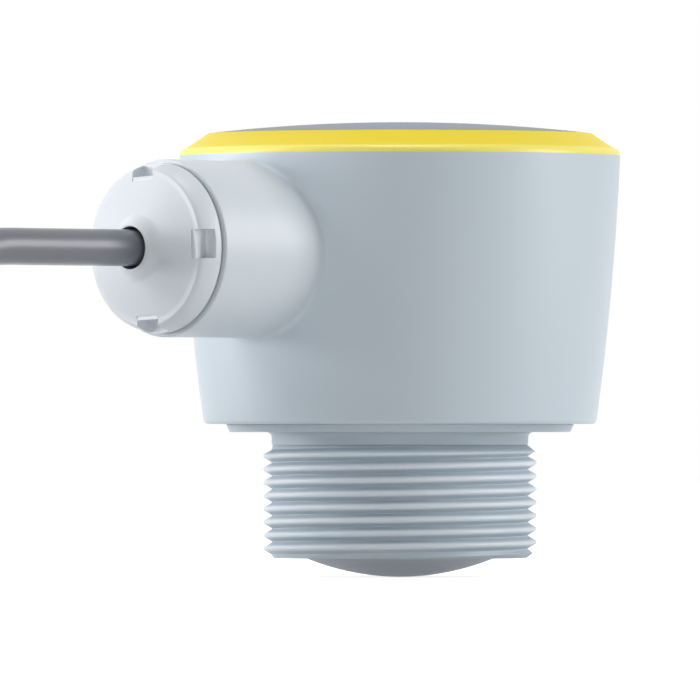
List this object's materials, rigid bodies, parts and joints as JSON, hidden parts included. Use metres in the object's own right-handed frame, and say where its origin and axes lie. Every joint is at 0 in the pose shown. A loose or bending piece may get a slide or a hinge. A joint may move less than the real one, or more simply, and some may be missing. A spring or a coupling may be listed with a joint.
{
  "type": "radar level transmitter",
  "caption": "Compact radar level transmitter: barrel housing with a marker ring, side cable gland with a coiled fixed cable, and a threaded process fitting with a lens.",
  "frame": {"origin": "on the device axis, at the flange's sealing face", "axes": "+Z away from the tank along the device axis, the process thread points down -Z, the cable leaves along -X"},
  "size_m": [0.229, 0.1404, 0.0794],
  "materials": {
    "fitting_plastic": "satin, mould-grey",
    "housing_plastic": "satin, light grey",
    "ring_yellow": "satin",
    "lid_grey": "satin",
    "seal_rubber": "matt",
    "slip_plastic": "smooth",
    "dark_plastic": "matt",
    "board_green": "solder resist",
    "screw_steel": "plated",
    "chip_black": "moulded",
    "can_aluminium": "sleeved can",
    "winding_copper": "enamelled wire on ferrite",
    "terminal_green": "moulded",
    "horn_brass": "turned",
    "shield_tin": "tinned",
    "flex_amber": "film",
    "core_brown": "insulation",
    "core_blue": "insulation",
    "cable_jacket": "matt jacket",
    "tie_black": "woven strap",
    "ferrule_tin": "tinned"
  },
  "bodies": {
    "transmitter": {"antenna_fitting": "fitting_plastic", "fitting_seal": "seal_rubber", "lock_ring": "dark_plastic", "housing": "housing_plastic", "marker_ring": "ring_yellow", "lid": "lid_grey", "lid_seal": "seal_rubber", "cable_seal": "seal_rubber", "board_carrier": "dark_plastic", "main_board": "board_green", "board_screws": "screw_steel", "processor": "chip_black", "capacitors": "can_aluminium", "power_coil": "winding_copper", "terminal_block": "terminal_green", "radar_board": "board_green", "radar_chip": "chip_black", "feed_horn": "horn_brass", "shield_can": "shield_tin", "clamp_ring": "dark_plastic", "flex_link": "flex_amber", "core_brown": "core_brown", "core_blue": "core_blue", "cable": "cable_jacket", "cable_coil": "cable_jacket", "coil_ties": "tie_black", "cable_tail": "cable_jacket", "end_core_brown": "core_brown", "end_core_blue": "core_blue", "ferrules": "ferrule_tin"},
    "slip_ring": {"slip_ring": "slip_plastic"},
    "gland_cap": {"gland_cap": "housing_plastic"}
  },
  "joints": [
    {"name": "slip_slide", "type": "slide", "parent": "transmitter", "child": "slip_ring", "axis": [-1, 0, 0], "range_m": [0, 0.0075]},
    {"name": "cap_turn", "type": "hinge", "parent": "slip_ring", "child": "gland_cap", "pos_m": [0, 0, 0.0316], "axis": [-1, 0, 0], "range_deg": [0, 1800]}
  ],
  "couplings": [
    {"joint": "slip_slide", "follows": "cap_turn", "m_per_rad": 0.00023873}
  ]
}
